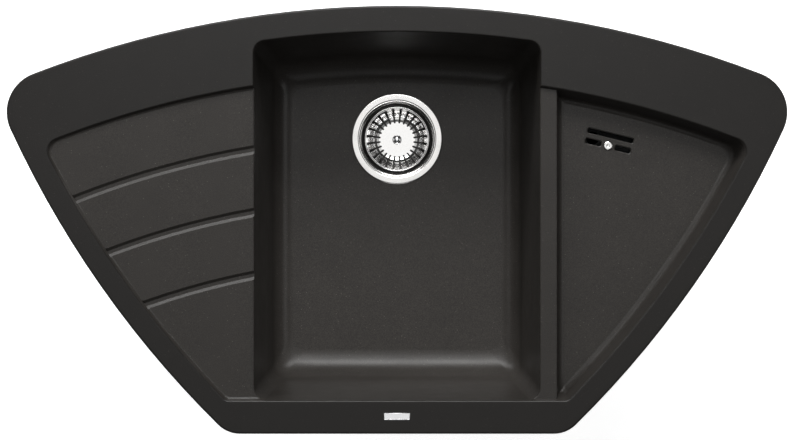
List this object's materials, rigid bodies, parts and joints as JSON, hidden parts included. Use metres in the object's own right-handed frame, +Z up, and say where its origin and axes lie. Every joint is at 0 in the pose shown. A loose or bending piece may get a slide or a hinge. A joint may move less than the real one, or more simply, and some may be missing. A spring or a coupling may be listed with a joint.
{
  "type": "corner kitchen sink",
  "caption": "Corner kitchen sink in black granite composite: deep bowl with basket waste, grooved drainer on the left, sunk overflow tray on the right, clamps for a worktop cut-out.",
  "frame": {"origin": "on the ring under the rim that bears on the worktop, in the middle of that ring's width, on the centre line of the front edge", "axes": "+X to the user's right along the front edge, +Y from the front edge to the back, +Z up out of the worktop"},
  "size_m": [0.9299, 0.51, 0.2974],
  "materials": {
    "composite": "fine-grained warm black mineral composite, satin",
    "foam": "closed-cell foam strip",
    "badge_metal": "brushed, bare",
    "stainless_steel": "polished stainless steel",
    "black_rubber": "smooth",
    "moulded_plastic": "moulded, lightly grained",
    "brass": "turned",
    "bright_screw": "turned stainless steel",
    "chrome": "polished",
    "hose_plastic": "flexible, satin",
    "clip_steel": "rolled strip",
    "clip_plastic": "moulded",
    "zinc_steel": "bright zinc plated"
  },
  "bodies": {
    "sink": {"sink_body": "composite", "rim_seal": "foam", "badge_plate": "badge_metal", "waste_flange": "stainless_steel", "flange_gasket": "black_rubber", "under_gasket": "black_rubber", "waste_body": "moulded_plastic", "outlet_tube": "moulded_plastic", "waste_insert": "brass", "waste_screw": "bright_screw", "overflow_gasket": "black_rubber", "overflow_housing": "moulded_plastic", "overflow_insert": "brass", "overflow_screw": "bright_screw", "overflow_hose": "hose_plastic", "hose_clip_lower": "clip_steel", "hose_clip_upper": "clip_steel", "clip_anchors": "clip_plastic", "clip_nuts": "zinc_steel", "clip_screws": "zinc_steel"},
    "basket": {"basket_strainer": "stainless_steel", "basket_stem": "bright_screw", "basket_knob": "chrome", "basket_seal": "black_rubber", "basket_nut": "bright_screw"},
    "arm_1": {"clamp_arm_1": "zinc_steel"},
    "arm_2": {"clamp_arm_2": "zinc_steel"},
    "arm_3": {"clamp_arm_3": "zinc_steel"},
    "arm_4": {"clamp_arm_4": "zinc_steel"},
    "arm_5": {"clamp_arm_5": "zinc_steel"},
    "arm_6": {"clamp_arm_6": "zinc_steel"},
    "arm_7": {"clamp_arm_7": "zinc_steel"},
    "arm_8": {"clamp_arm_8": "zinc_steel"}
  },
  "joints": [
    {"name": "basket_lift", "type": "slide", "parent": "sink", "child": "basket", "axis": [0, 0, 1], "range_m": [0, 0.25]},
    {"name": "clamp_1_swing", "type": "hinge", "parent": "sink", "child": "arm_1", "pos_m": [-0.11, 0.016, -0.046], "axis": [0, 0, 1], "range_deg": [0, 90]},
    {"name": "clamp_2_swing", "type": "hinge", "parent": "sink", "child": "arm_2", "pos_m": [0.11, 0.016, -0.046], "axis": [0, 0, 1], "range_deg": [0, 90]},
    {"name": "clamp_3_swing", "type": "hinge", "parent": "sink", "child": "arm_3", "pos_m": [-0.3, 0.45028, -0.046], "axis": [0, 0, 1], "range_deg": [0, 90]},
    {"name": "clamp_4_swing", "type": "hinge", "parent": "sink", "child": "arm_4", "pos_m": [0.3, 0.45028, -0.046], "axis": [0, 0, 1], "range_deg": [0, 90]},
    {"name": "clamp_5_swing", "type": "hinge", "parent": "sink", "child": "arm_5", "pos_m": [-0.31108, 0.1475, -0.046], "axis": [0, 0, 1], "range_deg": [0, 90]},
    {"name": "clamp_6_swing", "type": "hinge", "parent": "sink", "child": "arm_6", "pos_m": [-0.40829, 0.2975, -0.046], "axis": [0, 0, 1], "range_deg": [0, 90]},
    {"name": "clamp_7_swing", "type": "hinge", "parent": "sink", "child": "arm_7", "pos_m": [0.31108, 0.1475, -0.046], "axis": [0, 0, 1], "range_deg": [0, 90]},
    {"name": "clamp_8_swing", "type": "hinge", "parent": "sink", "child": "arm_8", "pos_m": [0.40829, 0.2975, -0.046], "axis": [0, 0, 1], "range_deg": [0, 90]}
  ]
}
